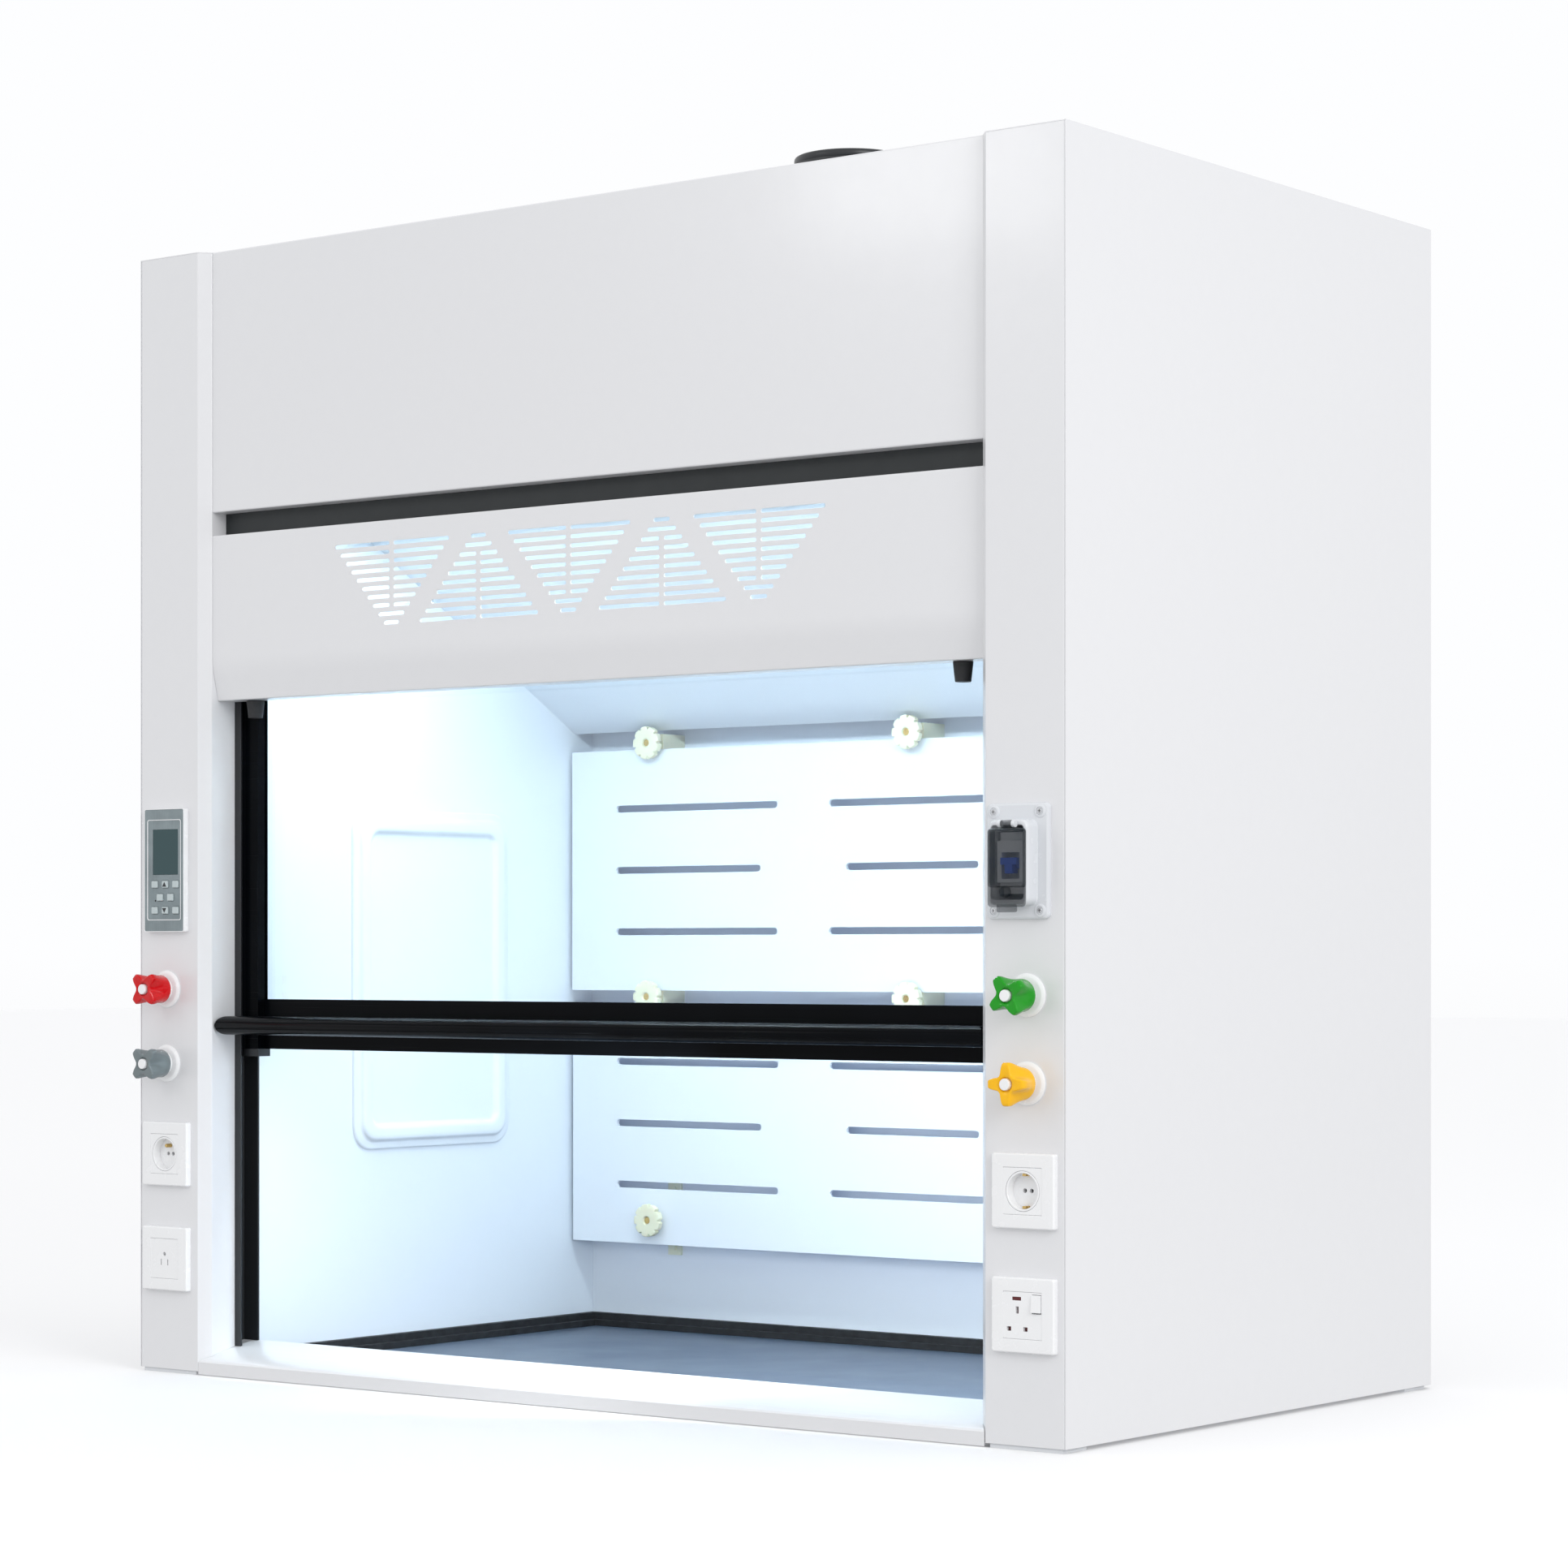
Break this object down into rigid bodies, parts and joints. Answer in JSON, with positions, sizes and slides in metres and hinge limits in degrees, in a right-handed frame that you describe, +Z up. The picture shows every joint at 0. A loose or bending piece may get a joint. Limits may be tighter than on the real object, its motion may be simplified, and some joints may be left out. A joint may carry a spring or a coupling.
{
  "type": "fume hood",
  "caption": "Bench-top fume hood cabinet with a counterweighted glass sash, slotted baffles, worktop, roof exhaust collar, valve knobs, outlets and a keypad controller.",
  "frame": {"origin": "on the ground under the middle of the cabinet's footprint, on the worktop's underside", "axes": "+Z up, the sash and controls face -Y, +X to the right seen from the front"},
  "size_m": [1.5, 0.9103, 1.648],
  "materials": {
    "white_paint": "gloss orange-peel powder coat",
    "liner_white": "satin",
    "white_plastic": "gloss",
    "black_metal": "black anodised, satin",
    "black_plastic": "matte",
    "black_rubber": "matte",
    "black_paint": "satin",
    "steel": "brushed",
    "weight_iron": "rough",
    "brass": "satin",
    "sash_glass": "clear",
    "slate": "satin",
    "ivory": "satin",
    "lamp": "opal, lit",
    "grey_plastic": "gloss",
    "red": "gloss",
    "grey": "gloss",
    "green": "gloss",
    "yellow": "gloss",
    "smoke": "smoked, clear",
    "blue": "gloss",
    "teal": "satin",
    "screen": "dark",
    "key_grey": "satin"
  },
  "bodies": {
    "cabinet": {"post_left": "white_paint", "post_right": "white_paint", "side_panels": "white_paint", "back_panel": "white_paint", "roof_panel": "white_paint", "exhaust_collar": "black_plastic", "header_panel": "white_paint", "bypass_panel": "white_paint", "bypass_strip": "black_paint", "ceiling_panel": "liner_white", "side_liners": "liner_white", "liner_back": "liner_white", "access_panels": "liner_white", "baffle_upper": "liner_white", "baffle_lower": "liner_white", "baffle_standoffs": "ivory", "baffle_knobs": "ivory", "worktop": "slate", "worktop_rim": "black_rubber", "sill": "white_paint", "sash_tracks": "black_plastic", "sash_bumpers": "black_rubber", "cable_front": "steel", "cable_back": "steel", "pulley_brackets": "steel", "lamp_housing": "grey_plastic", "lamp_diffuser": "lamp", "foot_pads": "grey_plastic", "panel_screws": "steel", "valve_bodies": "brass", "valve_flanges": "white_plastic", "socket_plates": "white_plastic", "socket_inserts": "white_plastic", "breaker_enclosure": "grey_plastic", "breaker_switch": "grey_plastic", "controller_case": "teal", "controller_screen": "screen"},
    "sash": {"sash_glass": "sash_glass", "sash_stiles": "black_metal", "sash_top_rail": "black_metal", "sash_bottom_rail": "black_metal", "sash_handle": "black_metal", "sash_shoes": "black_plastic"},
    "weights": {"counterweights": "weight_iron"},
    "lift_shaft": {"pulley_shaft": "steel"},
    "red_knob": {"knob_red": "red"},
    "grey_knob": {"knob_grey": "grey"},
    "green_knob": {"knob_green": "green"},
    "yellow_knob": {"knob_yellow": "yellow"},
    "rocker": {"socket_rocker": "white_plastic"},
    "cover": {"breaker_cover": "smoke"},
    "toggle": {"breaker_toggle": "blue"},
    "key_1_body": {"key_1": "key_grey"},
    "key_up_body": {"key_up": "key_grey"},
    "key_3_body": {"key_3": "key_grey"},
    "key_4_body": {"key_4": "key_grey"},
    "key_5_body": {"key_5": "key_grey"},
    "key_6_body": {"key_6": "key_grey"},
    "key_down_body": {"key_down": "key_grey"},
    "key_8_body": {"key_8": "key_grey"}
  },
  "joints": [
    {"name": "sash_lift", "type": "slide", "parent": "cabinet", "child": "sash", "axis": [0, 0, 1], "range_m": [-0.3855, 0.398], "deforming": ["cable_front"]},
    {"name": "weight_travel", "type": "slide", "parent": "cabinet", "child": "weights", "axis": [0, 0, 1], "range_m": [-0.4, 0.388], "deforming": ["cable_back"]},
    {"name": "shaft_turn", "type": "hinge", "parent": "cabinet", "child": "lift_shaft", "pos_m": [0, -0.313, 1.44], "axis": [-1, 0, 0], "range_deg": [-530, 548]},
    {"name": "red_knob_turn", "type": "hinge", "parent": "cabinet", "child": "red_knob", "pos_m": [-0.698, -0.46, 0.517], "axis": [0, -1, 0], "range_deg": [0, 720]},
    {"name": "grey_knob_turn", "type": "hinge", "parent": "cabinet", "child": "grey_knob", "pos_m": [-0.698, -0.46, 0.417], "axis": [0, -1, 0], "range_deg": [0, 720]},
    {"name": "green_knob_turn", "type": "hinge", "parent": "cabinet", "child": "green_knob", "pos_m": [0.698, -0.46, 0.517], "axis": [0, -1, 0], "range_deg": [0, 720]},
    {"name": "yellow_knob_turn", "type": "hinge", "parent": "cabinet", "child": "yellow_knob", "pos_m": [0.698, -0.46, 0.417], "axis": [0, -1, 0], "range_deg": [0, 720]},
    {"name": "rocker_tilt", "type": "hinge", "parent": "cabinet", "child": "rocker", "pos_m": [0.715, -0.434, 0.1675], "axis": [1, 0, 0], "range_deg": [0, 12]},
    {"name": "cover_lift", "type": "hinge", "parent": "cabinet", "child": "cover", "pos_m": [0.691, -0.461, 0.711], "axis": [-1, 0, 0], "range_deg": [0, 110]},
    {"name": "toggle_flip", "type": "hinge", "parent": "cabinet", "child": "toggle", "pos_m": [0.688, -0.443, 0.664], "axis": [1, 0, 0], "range_deg": [0, 30]},
    {"name": "key_1_press", "type": "slide", "parent": "cabinet", "child": "key_1_body", "axis": [0, 1, 0], "range_m": [0, 0.001], "stiffness_N_per_m": 400, "springref_m": -0.0005},
    {"name": "key_up_press", "type": "slide", "parent": "cabinet", "child": "key_up_body", "axis": [0, 1, 0], "range_m": [0, 0.001], "stiffness_N_per_m": 400, "springref_m": -0.0005},
    {"name": "key_3_press", "type": "slide", "parent": "cabinet", "child": "key_3_body", "axis": [0, 1, 0], "range_m": [0, 0.001], "stiffness_N_per_m": 400, "springref_m": -0.0005},
    {"name": "key_4_press", "type": "slide", "parent": "cabinet", "child": "key_4_body", "axis": [0, 1, 0], "range_m": [0, 0.001], "stiffness_N_per_m": 400, "springref_m": -0.0005},
    {"name": "key_5_press", "type": "slide", "parent": "cabinet", "child": "key_5_body", "axis": [0, 1, 0], "range_m": [0, 0.001], "stiffness_N_per_m": 400, "springref_m": -0.0005},
    {"name": "key_6_press", "type": "slide", "parent": "cabinet", "child": "key_6_body", "axis": [0, 1, 0], "range_m": [0, 0.001], "stiffness_N_per_m": 400, "springref_m": -0.0005},
    {"name": "key_down_press", "type": "slide", "parent": "cabinet", "child": "key_down_body", "axis": [0, 1, 0], "range_m": [0, 0.001], "stiffness_N_per_m": 400, "springref_m": -0.0005},
    {"name": "key_8_press", "type": "slide", "parent": "cabinet", "child": "key_8_body", "axis": [0, 1, 0], "range_m": [0, 0.001], "stiffness_N_per_m": 400, "springref_m": -0.0005}
  ],
  "couplings": [
    {"joint": "weight_travel", "follows": "sash_lift", "ratio": -1},
    {"joint": "shaft_turn", "follows": "sash_lift", "rad_per_m": 23.81}
  ]
}
